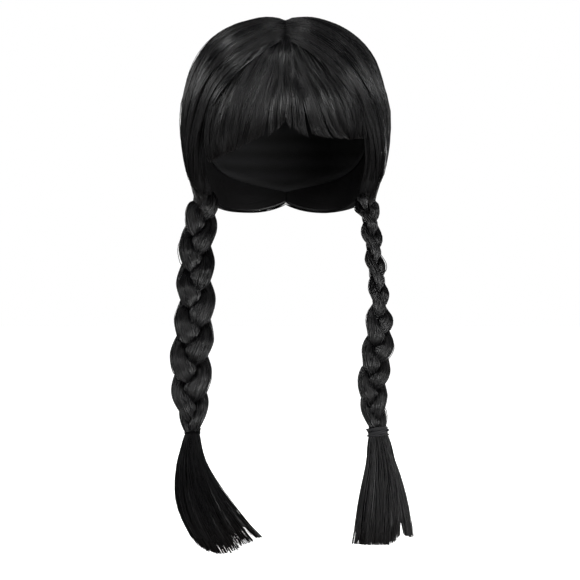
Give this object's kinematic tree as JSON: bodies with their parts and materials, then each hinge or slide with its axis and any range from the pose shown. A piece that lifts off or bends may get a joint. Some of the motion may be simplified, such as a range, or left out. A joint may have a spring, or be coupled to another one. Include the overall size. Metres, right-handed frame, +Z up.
{
  "type": "pigtail wig",
  "caption": "Wig of straight black synthetic hair with a centre parting, a fringe, and long plaited pigtails that end in loose tassels below their elastic ties.",
  "frame": {"origin": "inside of the cap where it rests on top of the head (mount head_seat)", "axes": "+Z up, the face looks along -Y, +X towards the viewer's right when the wig is seen from the front"},
  "size_m": [0.2122, 0.2123, 0.471],
  "materials": {
    "hair": "jet black synthetic fibre, combed, with a soft grey sheen",
    "cap_net": "matt black elastic net with sewn wefts",
    "elastic": "black covered elastic"
  },
  "bodies": {
    "root": {"cap": "cap_net", "crown_left": "hair", "crown_right": "hair", "fringe_left": "hair", "fringe_right": "hair", "left_braid_strand_1": "hair", "left_braid_strand_2": "hair", "left_braid_strand_3": "hair", "right_braid_strand_1": "hair", "right_braid_strand_2": "hair", "right_braid_strand_3": "hair", "left_tassel": "hair", "right_tassel": "hair", "left_tie": "elastic", "right_tie": "elastic"}
  },
  "joints": []
}
